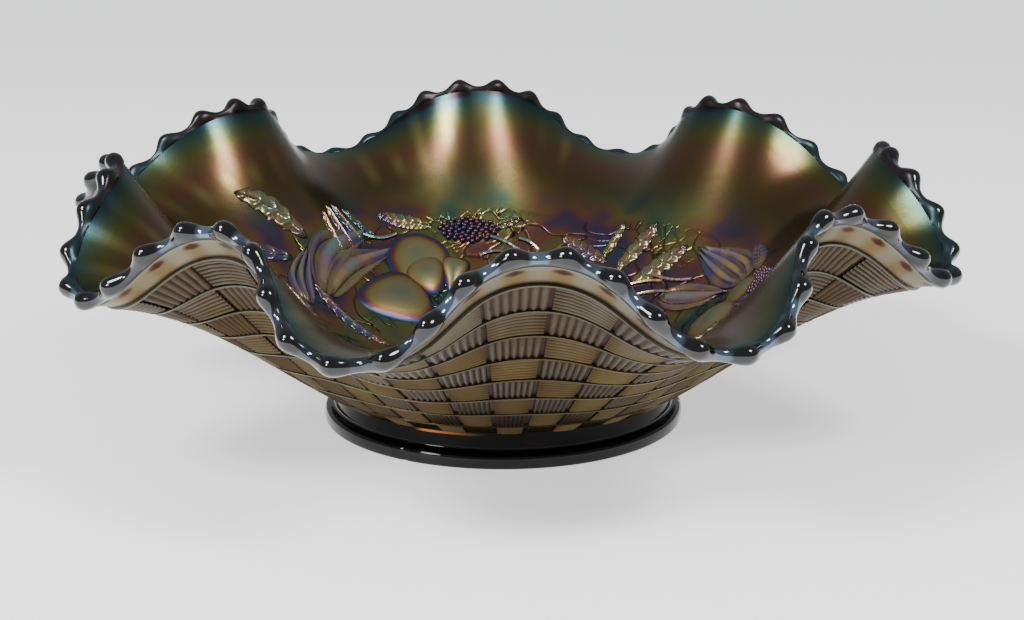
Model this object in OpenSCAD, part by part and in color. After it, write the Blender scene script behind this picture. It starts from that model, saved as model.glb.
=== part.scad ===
// Ruffled carnival glass bowl with a basketweave outside, a fruit relief inside and a beaded edge.
// The glass is one pressing. Each node here is one feature of it, and neighbours meet face to face.
// Lengths are in millimetres. Bearings run from the front (-Y) towards +X, in degrees.

/* [Foot] */
// Outside diameter of the foot ring
foot_d = 96; // [95:0.5:100]
// Inside diameter of the foot ring
foot_bore_d = 80; // [70:1:82]
// Height of the lip round the foot
lip_h = 4; // [3.4:0.1:4.1]
// Diameter of the neck between the lip and the bowl
neck_d = 90.4; // [89:0.2:91]

/* [Floor] */
// Height of the hollow under the floor
floor_lift = 5; // [5:0.2:6]
// How much lower the middle of the floor lies than its edge
floor_dish = 3.1; // [1:0.1:3.4]

/* [Wall] */
// Radius at which the middle of the wall leaves the floor
wall_r = 41.5; // [41:0.1:42]
// Height at which the middle of the wall leaves the floor
wall_z = 9.5; // [9:0.1:10.5]
// Length of the wall up its slope, from the floor to the middle of the edge
wall_len = 86.5; // [82:0.5:90]
// Thickness of the glass at the floor
wall_base_t = 4.4; // [3.6:0.1:5]
// Thickness of the glass at the edge
wall_rim_t = 3.2; // [2.8:0.1:3.6]
// Slope of the wall where it leaves the floor
slope_base = 28; // [22:1:32]
// How fast the wall turns up
slope_rise = 49; // [42:1:56]
// How fast it flares out again
slope_ease = 49; // [42:1:56]

/* [Ruffles] */
// Number of ruffles
ruffles = 8; // [6:1:10]
// How far each ruffle swings the slope at the edge
ruffle_swing = 27; // [10:1:28]
// How late the ruffles start up the wall
ruffle_onset = 1.8; // [1.2:0.1:2.4]
// How much weaker the front ruffles are than the middle ones, and the back ones stronger
ruffle_bias = 0.05; // [0:0.01:0.08]
// Slope that the hand finishing took off the front and gave to the back
lean_back = 3; // [0:0.1:3]
// Slope that the hand finishing took off the right and gave to the left
lean_left = 1.3; // [0:0.1:2]
// Slope that it gave to the front right and back left, and took off the other two quarters
lean_twist = 1.2; // [0:0.1:1.5]
// How far the ruffles wander round towards the back, in degrees
drift = 2; // [0:0.1:2.5]
// How far the two side ruffles wander from the others, in degrees
spread = 0.6; // [0:0.1:1]
// How far the crests are pinched sideways at the edge, in degrees
pinch = 1; // [0:0.1:1.5]
// How far each ruffle is pulled back round the bowl at the edge, in degrees
pull = 0.4; // [0:0.1:0.6]

/* [Edge] */
// Number of beads along the edge
beads = 72; // [48:8:80]
// Half of a bead's thickness
bead_r = 2.6; // [2.2:0.1:2.8]
// How narrow the beads are, where 1 makes an even wave
bead_sharp = 1.3; // [1:0.1:1.6]
// How far a bead stands out past the middle of the edge
bead_out = 2.6; // [2:0.1:3]
// Half of the edge's thickness between two beads
gap_r = 1.7; // [1.6:0.1:1.9]
// How far the edge draws back between two beads
gap_in = 0.4; // [0.2:0.1:0.5]
// Width of the edge below its middle
edge_w = 2.4; // [2.2:0.1:3]
// Width of the edge and the plain border together, below the middle of the edge
border_w = 8.5; // [7:0.5:12]

/* [Basketweave] */
// Number of blocks round the bowl
weave_columns = 42; // [36:2:48]
// Bearing of one of the grooves between columns
weave_turn = 1.8; // [0:0.1:8]
// Number of blocks up the wall
weave_rows = 8; // [6:1:8]
// Where the pattern of rows starts up the slope
weave_start = 1.2; // [1:0.1:4]
// Where the lowest blocks are cut off, just above the foot's neck
weave_foot = 3.8; // [3.6:0.1:6]
// How far a block stands out of the wall
weave_rise = 0.8; // [0.5:0.1:1]
// Width of the groove between blocks
weave_groove = 0.9; // [0.6:0.1:1.4]

/* [Fruit relief] */
// Number of fruit sprays round the inside
sprays = 4; // [2:2:4]
// Height of the pears and apples above the glass
fruit_rise = 1.5; // [0.8:0.1:1.8]
// Height of the leaves above the glass
leaf_rise = 0.8; // [0.5:0.1:1]
// Height of the cherries above the glass
cherry_rise = 1.2; // [0.8:0.1:1.4]

/* [Hidden] */

wall_cuts = 144;
wall_bands = 8;
slope_cuts = 10;
edge_stop = wall_len - edge_w;
weave_top = wall_len - border_w;
sink = 0.3;
neck_bend = 0.8;
bead_cuts = 6;
shoulder = 0.8;
stem_w = 1.6;
stem_cuts = 6;
inner_r = wall_r - wall_base_t / 2 * sin(slope_base);
inner_z = wall_z + wall_base_t / 2 * cos(slope_base);
under_r = wall_r + wall_base_t / 2 * sin(slope_base);
under_z = wall_z - wall_base_t / 2 * cos(slope_base);
dish_power = inner_r * tan(slope_base) / floor_dish;

// Sum of a list of numbers.
function total(list) = list * [for (x = list) 1];

// Place of a bearing in the ruffle that it crosses, 360 degrees a ruffle, with a crest at 0.
function phase(t) = ruffles * (t + drift * sin(t) + spread * (cos(2 * t) - 1));

// Slope of the wall at a bearing t and a share q of the way up.
function slope(t, q) = slope_base + slope_rise * q - slope_ease * q * q
    + ruffle_swing * (1 - ruffle_bias * cos(t)) * cos(phase(t)) * pow(max(q, 0), ruffle_onset)
    - (lean_back * cos(t) + lean_left * sin(t) - lean_twist * sin(2 * t)) * q;

// Point in the middle of the glass at a bearing t, s up the slope from the floor.
function middle(t, s) =
    let(
        turns = [for (k = [0.5:1:slope_cuts]) slope(t, s * k / slope_cuts / wall_len)],
        r = wall_r + s / slope_cuts * total([for (a = turns) cos(a)]),
        z = wall_z + s / slope_cuts * total([for (a = turns) sin(a)]),
        b = t + (pinch * sin(2 * phase(t)) + pull * sin(phase(t))) * pow(s / wall_len, 2)
    )
    [r * sin(b), -r * cos(b), z];

// Direction straight out of the inner face of the glass.
function inward(t, s) =
    let(n = cross(middle(t, s + 0.5) - middle(t, s - 0.5), middle(t + 0.5, s) - middle(t - 0.5, s)))
    n / norm(n);

// Point h inside the middle of the glass.
function skin(t, s, h) = middle(t, s) + h * inward(t, s);

// Half of the glass's thickness, s up the slope.
function half(s) = (wall_base_t + (wall_rim_t - wall_base_t) * min(s / wall_len, 1)) / 2;

// Height of the floor's upper face at a radius.
function floor_top(r) = inner_z - floor_dish + floor_dish * pow(r / inner_r, dish_power);

// Point h above the inner face, for a place on the relief's flat pattern, where the wall starts at wall_r.
function lay(p, h) =
    let(reach = norm(p), t = atan2(p[0], -p[1]), in_scale = inner_r / wall_r)
    reach <= wall_r
        ? [p[0] * in_scale, p[1] * in_scale, floor_top(reach * in_scale) + h]
        : skin(t, reach - wall_r, half(reach - wall_r) + h);

// Height of the top of a weave row, counted down from the border.
function row_s(k) = weave_top - (weave_top - weave_start) * k / weave_rows;

// Two triangles for each step round and along a closed grid of points.
function grid_faces(loops, n) = [
    for (i = [0:loops - 1])
        for (j = [0:n - 1])
            let(
                a = i * n + j,
                b = i * n + (j + 1) % n,
                c = (i + 1) % loops * n + (j + 1) % n,
                d = (i + 1) % loops * n + j
            )
            each [[a, c, b], [a, d, c]]
];

// Closed ring round the bowl whose section at a bearing is outline(t), a list of [s, h].
module ring_round(cuts, outline) {
    loops = [for (i = [0:cuts - 1]) let(t = i * 360 / cuts) [for (p = outline(t)) skin(t, p[0], p[1])]];
    polyhedron([for (loop = loops) each loop], grid_faces(cuts, len(loops[0])));
}

// Stretch of wall between two places up the slope.
module wall_stretch(s0, s1, bands) {
    places = [for (k = [0:bands]) s0 + (s1 - s0) * k / bands];
    under = [for (s = places) [s, -half(s)]];
    over = [for (k = [bands:-1:0]) [places[k], half(places[k])]];
    ring_round(wall_cuts, function(t) concat(under, over));
}

module foot_ring() {
    color("#15161a")
        rotate_extrude($fn = 180)
            difference() {
                polygon([
                    [foot_bore_d / 2, 0],
                    [foot_d / 2 - 0.7, 0],
                    [foot_d / 2, 0.7],
                    [foot_d / 2, lip_h - 0.8],
                    [foot_d / 2 - 0.8, lip_h],
                    [neck_d / 2 + neck_bend, lip_h],
                    [neck_d / 2 + neck_bend * 0.3, lip_h + neck_bend * 0.3],
                    [neck_d / 2, lip_h + neck_bend],
                    [neck_d / 2, floor_lift],
                    [foot_bore_d / 2 - 1, floor_lift]
                ]);
                translate([foot_bore_d / 2 - 1, floor_lift - 1])
                    circle(r = 1, $fn = 32);
            }
}

module bowl_floor() {
    color("#3a3b45")
        rotate_extrude($fn = 180)
            polygon(concat(
                [
                    [0, floor_lift],
                    [neck_d / 2, floor_lift],
                    [neck_d / 2, under_z + (neck_d / 2 - under_r) * tan(slope_base)],
                    [under_r, under_z]
                ],
                [for (k = [16:-1:0]) [inner_r * k / 16, floor_top(inner_r * k / 16)]]
            ));
}

module bowl_wall() {
    color("#6e5c3e") wall_stretch(0, weave_top, wall_bands);
}

module plain_border() {
    color("#7d7462") wall_stretch(weave_top, edge_stop, 1);
}

// The rounded edge swells into a bead and draws back between two beads.
module beaded_edge() {
    lip = half(edge_stop);
    color("#26303e")
        ring_round(beads * bead_cuts, function(t)
            let(
                swell = pow(0.5 - 0.5 * cos(beads * t), bead_sharp),
                r = gap_r + (bead_r - gap_r) * swell,
                tip = wall_len - gap_in + (bead_out + gap_in) * swell
            )
            [
                [edge_stop, -lip],
                [edge_stop + shoulder, -r],
                [tip - r * 0.45, -r * 0.8],
                [tip, 0],
                [tip - r * 0.45, r * 0.8],
                [edge_stop + shoulder, r],
                [edge_stop, lip]
            ]);
}

// Raised block of the weave, bent round the wall, in a column and a row counted from the top.
module weave_block(column, row) {
    pitch = 360 / weave_columns;
    high = row_s(row) - weave_groove / 2;
    low = max(row_s(row + 1) + weave_groove / 2, weave_foot);
    gap = weave_groove / 2 / norm(middle(0, low)) * 180 / PI;
    left = weave_turn + column * pitch + gap;
    right = weave_turn + (column + 1) * pitch - gap;
    bearings = [left, (left + right) / 2, right];
    places = [
        [low, -half(low) + sink],
        [low, -half(low) - weave_rise],
        [high, -half(high) - weave_rise],
        [high, -half(high) + sink]
    ];
    sides = [for (j = [0:1]) for (k = [0:3])
        let(a = j * 4 + k, b = j * 4 + (k + 1) % 4, c = b + 4, d = a + 4)
        each [[a, b, c], [a, c, d]]];
    polyhedron(
        [for (t = bearings) for (p = places) skin(t, p[0], p[1])],
        concat(sides, [[2, 1, 0], [3, 2, 0], [8, 9, 10], [8, 10, 11]])
    );
}

module weave_half(parity) {
    for (column = [0:weave_columns - 1])
        for (row = [0:weave_rows - 1])
            if ((column + row) % 2 == parity) weave_block(column, row);
}

module weave_upright() {
    color("#8a744d") weave_half(1);
}

module weave_level() {
    color("#7b6642") weave_half(0);
}

// Turns a point of the flat pattern round the middle of the bowl, to a numbered spray.
function at_spray(spray, p) =
    let(a = -spray * 360 / sprays)
    [p[0] * cos(a) - p[1] * sin(a), p[0] * sin(a) + p[1] * cos(a)];

// Moves an outline to a place and turns it, on the flat pattern of a spray.
function put(spray, at, turn, outline) = [
    for (p = outline)
        at_spray(spray, at + [p[0] * cos(turn) - p[1] * sin(turn), p[0] * sin(turn) + p[1] * cos(turn)])
];

// Outline of a fruit whose radius narrows to a neck along +X.
function fruit_outline(size, neck, n) = [
    for (j = [0:n - 1])
        let(a = -j * 360 / n)
        size * [cos(a) * (1 + neck * (1 + cos(a)) / 2), sin(a) * (1 - neck * cos(a) * 0.45)]
];

// Outline of a pointed leaf along +X, from its stalk end.
function leaf_outline(length, width) = [
    for (j = [0:11])
        let(a = j * 30)
        [length / 2 * (1 - cos(a)), width / 2 * sin(a) * (1 - 0.35 * (1 - cos(a)) / 2)]
];

// Low rounded mound over an outline on the flat pattern.
module mound(outline, rise) {
    n = len(outline);
    heart = [total([for (p = outline) p[0]]), total([for (p = outline) p[1]])] / n;
    base = [for (p = outline) lay(p, -sink)];
    brow = [for (p = outline) lay(heart + (p - heart) * 0.92, rise * 0.5)];
    crown = [for (p = outline) lay(heart + (p - heart) * 0.5, rise * 0.92)];
    walls = [for (k = [0:1]) for (j = [0:n - 1])
        let(a = k * n + j, b = k * n + (j + 1) % n)
        each [[a, b, b + n], [a, b + n, a + n]]];
    caps = [for (j = [0:n - 1])
        let(next = (j + 1) % n)
        each [[next, j, 3 * n], [2 * n + j, 2 * n + next, 3 * n + 1]]];
    polyhedron(concat(base, brow, crown, [lay(heart, -sink), lay(heart, rise)]), concat(walls, caps));
}

// Raised stem along a bowed route between two places on the flat pattern of a spray.
module stem(spray, from, to, bow) {
    along = to - from;
    across = [-along[1], along[0]] / norm(along);
    route = [for (k = [0:stem_cuts]) from + along * k / stem_cuts + across * bow * sin(180 * k / stem_cuts)];
    right = [for (k = [stem_cuts:-1:0]) route[k] - across * stem_w / 2];
    left = [for (k = [0:stem_cuts]) route[k] + across * stem_w / 2];
    outline = put(spray, [0, 0], 0, concat(right, left));
    n = len(outline);
    walls = [for (j = [0:n - 1])
        let(next = (j + 1) % n)
        each [[j, next, next + n], [j, next + n, j + n]]];
    caps = [for (k = [0:stem_cuts - 1]) each [
        [k + 1, k, n - 1 - k],
        [k + 1, n - 1 - k, n - 2 - k],
        [n + k, n + k + 1, 2 * n - 1 - k],
        [n + k + 1, 2 * n - 2 - k, 2 * n - 1 - k]
    ]];
    polyhedron([for (h = [-sink, leaf_rise]) for (p = outline) lay(p, h)], concat(walls, caps));
}

// Mound in the form of a fruit, on the flat pattern of a spray.
module fruit(spray, at, turn, size, neck, rise) {
    mound(put(spray, at, turn, fruit_outline(size, neck, 14)), rise);
}

// Mound in the form of a leaf whose stalk end is at a place on the flat pattern of a spray.
module leaf(spray, at, turn, length, width) {
    mound(put(spray, at, turn, leaf_outline(length, width)), leaf_rise);
}

module pears() {
    color("#7f7a3c")
        for (spray = [0:2:sprays - 1]) {
            fruit(spray, [-28, 50.5], 205, 9.3, 0.5, fruit_rise);
            fruit(spray, [-18.5, 64.5], 62, 4.6, 0.3, fruit_rise);
        }
}

module apples() {
    color("#7d5a3a") {
        for (spray = [0:2:sprays - 1]) {
            fruit(spray, [-25, 72.5], 0, 4.6, 0, fruit_rise);
            fruit(spray, [-10, 65], 262, 4, 0.9, fruit_rise);
        }
        for (spray = [1:2:sprays - 1]) {
            fruit(spray, [-5, 61], 0, 8.4, 0, fruit_rise);
            fruit(spray, [-10, 75], 0, 5.4, 0, fruit_rise);
        }
    }
}

module cherries() {
    color("#5a3550")
        for (spray = [0:sprays - 1])
            for (k = [0:4])
                fruit(spray, [4 * k - 13.5, 82 - 4 * (k % 2)], 0, 2.2, 0, cherry_rise);
}

module leaves() {
    color("#4f6a58") {
        for (spray = [0:sprays - 1])
            leaf(spray, [-19, 80.5], 173, 16, 6);
        for (spray = [0:2:sprays - 1]) {
            leaf(spray, [-55, 41], 61, 38, 15);
            leaf(spray, [-60, 57.5], 176, 25, 12);
            leaf(spray, [-63, 47], 205, 20, 8);
            leaf(spray, [-53, 38], 332, 24, 8);
        }
        for (spray = [1:2:sprays - 1]) {
            leaf(spray, [-48, 43], 99, 20, 9);
            leaf(spray, [-61, 40], 97, 18, 9);
            leaf(spray, [-35, 50], 46.5, 24, 9);
            leaf(spray, [-19, 75], 195, 26, 10);
            leaf(spray, [8, 54], 66, 24, 10);
        }
    }
}

module stems() {
    color("#54503a") {
        for (spray = [0:sprays - 1]) {
            stem(spray, [1.5, 77], [10, 72], 0.6);
            stem(spray, [10.5, 76], [17, 71.5], 0.8);
        }
        for (spray = [1:2:sprays - 1])
            stem(spray, [-41.5, 43.5], [-36.5, 52.5], 0.8);
    }
}

foot_ring();
bowl_floor();
bowl_wall();
plain_border();
beaded_edge();
weave_upright();
weave_level();
pears();
apples();
cherries();
leaves();
stems();
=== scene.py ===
"""Ruffled carnival glass bowl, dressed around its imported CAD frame.

Every piece of the glass is modelled flat, on the pattern that the bowl's skin would make if it were
opened out, and is then pressed onto the mould, which bends it to the bowl's real shape. On the flat
pattern the distance from the middle is the way up the wall, and Z is the height above the glass.
Bearings run from the front (-Y) towards +X. Lengths are in metres.
"""

from __future__ import annotations

import logging
import math
from contextlib import contextmanager
from dataclasses import dataclass, field
from enum import Enum
from typing import Iterator, Sequence, Union

import bpy
import numpy as np
from mathutils import Matrix, Vector


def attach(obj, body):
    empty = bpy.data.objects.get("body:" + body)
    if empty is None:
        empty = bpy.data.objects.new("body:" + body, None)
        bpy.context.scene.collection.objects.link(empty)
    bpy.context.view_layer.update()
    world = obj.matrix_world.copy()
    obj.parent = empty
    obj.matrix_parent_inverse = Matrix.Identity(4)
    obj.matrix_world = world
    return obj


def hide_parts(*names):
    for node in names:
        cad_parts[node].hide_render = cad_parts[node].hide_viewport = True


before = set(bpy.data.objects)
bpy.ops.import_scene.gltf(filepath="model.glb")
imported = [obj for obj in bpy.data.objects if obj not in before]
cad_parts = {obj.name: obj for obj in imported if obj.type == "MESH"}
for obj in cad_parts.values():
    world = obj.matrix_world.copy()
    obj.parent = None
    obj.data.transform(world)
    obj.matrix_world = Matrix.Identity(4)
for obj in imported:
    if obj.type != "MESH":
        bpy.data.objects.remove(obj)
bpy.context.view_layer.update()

LOG = logging.getLogger("bowl")
MM = 0.001
FULL_TURN = 2.0 * math.pi
DOUBLES = 0.002 * MM

Piece = bpy.types.Object
Array = np.ndarray
Place = tuple[float, float]
Colour = tuple[float, float, float, float]
Number = Union["Wire", float]


class Face(Enum):
    """The face of the glass that a flat pattern is pressed onto."""

    INSIDE = "inside"
    OUTSIDE = "outside"
    MIDDLE = "middle"


class Slot(Enum):
    """The record's material slots."""

    FOOT = "foot_glass"
    WEAVE = "weave_glass"
    BORDER = "border_glass"
    EDGE = "edge_glass"
    LINING = "lining_glass"
    FRUIT = "fruit_glass"
    LEAF = "leaf_glass"


# ---------------------------------------------------------------------------------------------
# The mould
# ---------------------------------------------------------------------------------------------


@dataclass(frozen=True)
class Mould:
    """Shape of the glass, with the same driving sizes as the CAD part."""

    wall_r: float = 41.5 * MM
    wall_z: float = 9.5 * MM
    wall_len: float = 86.5 * MM
    base_t: float = 4.4 * MM
    rim_t: float = 3.2 * MM
    slope_base: float = 28.0
    slope_rise: float = 49.0
    slope_ease: float = 49.0
    ruffles: int = 8
    swing: float = 27.0
    onset: float = 1.8
    bias: float = 0.05
    lean_back: float = 3.0
    lean_left: float = 1.3
    lean_twist: float = 1.2
    drift: float = 2.0
    spread: float = 0.6
    pinch: float = 1.0
    pull: float = 0.4
    floor_dish: float = 3.1 * MM
    beads: int = 72
    sharp: float = 1.3
    flute: float = 0.12 * MM
    cuts: int = 10

    @property
    def inner_r(self) -> float:
        """Radius of the floor's edge on the inner face."""
        return self.wall_r - self.base_t / 2 * math.sin(math.radians(self.slope_base))

    @property
    def inner_z(self) -> float:
        """Height of the floor's edge on the inner face."""
        return self.wall_z + self.base_t / 2 * math.cos(math.radians(self.slope_base))

    def phase(self, bearing: Array) -> Array:
        """Place of a bearing in its ruffle, a full turn a ruffle, with a crest at 0."""
        sway = math.radians(self.drift) * np.sin(bearing)
        apart = math.radians(self.spread) * (np.cos(2 * bearing) - 1)
        return self.ruffles * (bearing + sway + apart)

    def slope(self, bearing: Array, share: Array) -> Array:
        """Slope of the wall in radians.

        Args:
            bearing: bearings in radians.
            share: shares of the way up the wall, 1 at the edge.

        Returns:
            The slope at each bearing and share.
        """
        straight = self.slope_base + self.slope_rise * share - self.slope_ease * share * share
        swing = self.swing * (1 - self.bias * np.cos(bearing))
        wave = swing * np.cos(self.phase(bearing)) * np.maximum(share, 0) ** self.onset
        lean = self.lean_back * np.cos(bearing) + self.lean_left * np.sin(bearing)
        twist = self.lean_twist * np.sin(2 * bearing)
        return np.radians(straight + wave - (lean - twist) * share)

    def middle(self, bearing: Array, climb: Array) -> Array:
        """Points in the middle of the glass, climb up the slope from the floor."""
        r = np.full(bearing.shape, self.wall_r)
        z = np.full(bearing.shape, self.wall_z)
        for k in range(self.cuts):
            turn = self.slope(bearing, climb * (k + 0.5) / self.cuts / self.wall_len)
            r = r + np.cos(turn) * climb / self.cuts
            z = z + np.sin(turn) * climb / self.cuts
        phase = self.phase(bearing)
        shift = self.pinch * np.sin(2 * phase) + self.pull * np.sin(phase)
        b = bearing + np.radians(shift) * (climb / self.wall_len) ** 2
        return np.stack([r * np.sin(b), -r * np.cos(b), z], axis=-1)

    def inward(self, bearing: Array, climb: Array) -> Array:
        """Directions straight out of the inner face."""
        up = self.middle(bearing, climb + 0.5 * MM) - self.middle(bearing, climb - 0.5 * MM)
        step = math.radians(0.5)
        along = self.middle(bearing + step, climb) - self.middle(bearing - step, climb)
        across = np.cross(up, along)
        return across / np.linalg.norm(across, axis=-1, keepdims=True)

    def half(self, climb: Array) -> Array:
        """Half of the thickness of the glass."""
        share = np.clip(climb / self.wall_len, 0, 1)
        return (self.base_t + (self.rim_t - self.base_t) * share) / 2

    def floor_top(self, radius: Array) -> Array:
        """Height of the floor's upper face."""
        power = self.inner_r * math.tan(math.radians(self.slope_base)) / self.floor_dish
        return self.inner_z - self.floor_dish + self.floor_dish * (radius / self.inner_r) ** power

    def swell(self, bearing: Array) -> Array:
        """How full the edge is, from 0 between two beads to 1 on a bead."""
        return (0.5 - 0.5 * np.cos(self.beads * bearing)) ** self.sharp

    def press(self, flat: Array, face: Face) -> Array:
        """Bends points of the flat pattern to the bowl.

        Args:
            flat: points on the pattern, one a row.
            face: the face of the glass that Z starts from.

        Returns:
            The points on the bowl, one a row.
        """
        reach = np.hypot(flat[:, 0], flat[:, 1])
        bearing = np.arctan2(flat[:, 0], -flat[:, 1])
        climb = reach - self.wall_r
        up = np.maximum(climb, 0)
        ripple = self.flute * np.cos(self.beads * bearing) * np.clip((up / self.wall_len - 0.78) / 0.22, 0, 1) ** 2
        lift = {
            Face.INSIDE: self.half(up) + flat[:, 2] - ripple,
            Face.OUTSIDE: -self.half(up) - flat[:, 2],
            Face.MIDDLE: flat[:, 2],
        }[face]
        bent = self.middle(bearing, up) + lift[:, None] * self.inward(bearing, up)
        if face is not Face.INSIDE:
            return bent
        r = reach * self.inner_r / self.wall_r
        floor = np.stack([r * np.sin(bearing), -r * np.cos(bearing), self.floor_top(r) + flat[:, 2]], axis=-1)
        return np.where((climb < 0)[:, None], floor, bent)


# ---------------------------------------------------------------------------------------------
# Bench work: moves on one mesh at a time
# ---------------------------------------------------------------------------------------------


def clear_bench() -> None:
    """Leaves edit mode and deselects everything."""
    if bpy.context.object is not None and bpy.context.object.mode != "OBJECT":
        bpy.ops.object.mode_set(mode="OBJECT")
    bpy.ops.object.select_all(action="DESELECT")


def take(piece: Piece) -> None:
    """Selects one piece and nothing else."""
    clear_bench()
    piece.select_set(True)
    bpy.context.view_layer.objects.active = piece


@contextmanager
def editing(piece: Piece) -> Iterator[None]:
    """Opens one piece in edit mode with everything selected, and leaves edit mode at the end."""
    take(piece)
    bpy.ops.object.mode_set(mode="EDIT")
    bpy.ops.mesh.select_all(action="SELECT")
    yield
    bpy.ops.object.mode_set(mode="OBJECT")


def take_new(name: str) -> Piece:
    """Names the object that an operator has just added."""
    piece = bpy.context.object
    piece.name = name
    piece.data.name = name
    return piece


def points_of(piece: Piece) -> Array:
    """The piece's vertices, one a row."""
    points = np.empty(len(piece.data.vertices) * 3)
    piece.data.vertices.foreach_get("co", points)
    return points.reshape(-1, 3)


def move_points(piece: Piece, points: Array) -> None:
    """Puts the piece's vertices in new places."""
    piece.data.vertices.foreach_set("co", points.ravel())
    piece.data.update()


def stamp(piece: Piece, name: str, values: Array) -> None:
    """Writes a number for each vertex, which a finish can read."""
    layer = piece.data.attributes.get(name) or piece.data.attributes.new(name, "FLOAT", "POINT")
    layer.data.foreach_set("value", np.ascontiguousarray(values, dtype=np.float32))


def face_all(piece: Piece) -> None:
    """Merges doubles and turns every face of a closed piece outwards."""
    with editing(piece):
        bpy.ops.mesh.remove_doubles(threshold=DOUBLES)
        bpy.ops.mesh.normals_make_consistent(inside=False)


def close_below(piece: Piece, base: float) -> Array:
    """Makes an open sheet solid, with a flat face under it.

    Args:
        piece: the sheet.
        base: the height of the flat face.

    Returns:
        The height of the sheet over each vertex of the solid.
    """
    with editing(piece):
        bpy.ops.mesh.extrude_region_move(TRANSFORM_OT_translate={"value": (0, 0, 0)})
    points = points_of(piece)
    heights = points[:, 2].copy()
    points[: len(points) // 2, 2] = base
    move_points(piece, points)
    with editing(piece):
        bpy.ops.mesh.normals_make_consistent(inside=False)
    return heights


def draw_line(name: str, points: Sequence[tuple[float, float, float]]) -> Piece:
    """Draws a chain of edges by extruding one vertex from point to point.

    Args:
        name: the piece's name.
        points: the chain's points in order. A chain that ends where it starts is closed.

    Returns:
        The new piece.
    """
    clear_bench()
    bpy.ops.mesh.primitive_plane_add(size=MM)
    piece = take_new(name)
    with editing(piece):
        bpy.ops.mesh.merge(type="CENTER")
        bpy.ops.transform.translate(value=points[0])
        for here, there in zip(points, points[1:]):
            step = tuple(b - a for a, b in zip(here, there))
            bpy.ops.mesh.extrude_region_move(TRANSFORM_OT_translate={"value": step})
        bpy.ops.mesh.select_all(action="SELECT")
        bpy.ops.mesh.remove_doubles(threshold=DOUBLES)
    return piece


def turn_round(piece: Piece, steps: int) -> None:
    """Spins a profile a full turn about Z."""
    with editing(piece):
        bpy.ops.mesh.spin(steps=steps, angle=FULL_TURN, center=(0, 0, 0), axis=(0, 0, 1))
    face_all(piece)


def lathe(name: str, profile: Sequence[Place], steps: int) -> Piece:
    """Turns a closed profile of (radius, height) pairs into a solid."""
    loop = [(r, 0.0, z) for r, z in profile]
    piece = draw_line(name, loop + loop[:1])
    turn_round(piece, steps)
    return piece


def smooth(piece: Piece, angle: float = 40.0) -> None:
    """Smooths the shading but keeps the sharp corners."""
    take(piece)
    bpy.ops.object.shade_smooth_by_angle(angle=math.radians(angle))


def copy_of(piece: Piece) -> Piece:
    """Copies a piece with a mesh of its own."""
    twin = piece.copy()
    twin.data = piece.data.copy()
    bpy.context.scene.collection.objects.link(twin)
    return twin


def join(name: str, parts: Sequence[Piece]) -> Piece:
    """Joins parts into one piece with its object at the origin."""
    take(parts[0])
    for part in parts:
        part.select_set(True)
    bpy.ops.object.join()
    return take_new(name)


def discard(piece: Piece) -> None:
    """Removes a pattern piece that has been copied."""
    bpy.data.objects.remove(piece)


def round_corner(centre: Place, radius: float, start: float, stop: float, cuts: int = 5) -> list[Place]:
    """Points of an arc of a profile, from one angle to another in degrees."""
    angles = [math.radians(start + (stop - start) * k / cuts) for k in range(cuts + 1)]
    return [(centre[0] + radius * math.cos(a), centre[1] + radius * math.sin(a)) for a in angles]


# ---------------------------------------------------------------------------------------------
# Shader maths
# ---------------------------------------------------------------------------------------------


def tint(code: str) -> Colour:
    """Linear colour of a six-digit sRGB code."""
    parts = [int(code[k : k + 2], 16) / 255 for k in (0, 2, 4)]
    red, green, blue = [c / 12.92 if c <= 0.04045 else ((c + 0.055) / 1.055) ** 2.4 for c in parts]
    return red, green, blue, 1.0


class Wire:
    """A shader socket that takes part in Python arithmetic."""

    def __init__(self, recipe: "Recipe", socket: bpy.types.NodeSocket) -> None:
        """Wraps one output socket of a recipe's tree."""
        self.recipe = recipe
        self.socket = socket

    def __add__(self, other: Number) -> "Wire":
        """Sum."""
        return self.recipe.maths("ADD", self, other)

    def __sub__(self, other: Number) -> "Wire":
        """Difference."""
        return self.recipe.maths("SUBTRACT", self, other)

    def __rsub__(self, other: Number) -> "Wire":
        """Difference from a number."""
        return self.recipe.maths("SUBTRACT", other, self)

    def __mul__(self, other: Number) -> "Wire":
        """Product."""
        return self.recipe.maths("MULTIPLY", self, other)

    def __truediv__(self, other: Number) -> "Wire":
        """Quotient."""
        return self.recipe.maths("DIVIDE", self, other)

    def __pow__(self, other: Number) -> "Wire":
        """Power."""
        return self.recipe.maths("POWER", self, other)

    __radd__ = __add__
    __rmul__ = __mul__

    def ramp_up(self, low: float, high: float) -> "Wire":
        """Smooth step from 0 at low to 1 at high."""
        made = self.recipe.node(
            "ShaderNodeMapRange",
            {"interpolation_type": "SMOOTHSTEP"},
            {"Value": self, "From Min": low, "From Max": high},
        )
        return Wire(self.recipe, made.outputs["Result"])

    def band(self, low: float, high: float, soft: float) -> "Wire":
        """1 between low and high, falling to 0 over a soft width on each side."""
        return self.ramp_up(low - soft, low) * (1 - self.ramp_up(high, high + soft))


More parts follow.
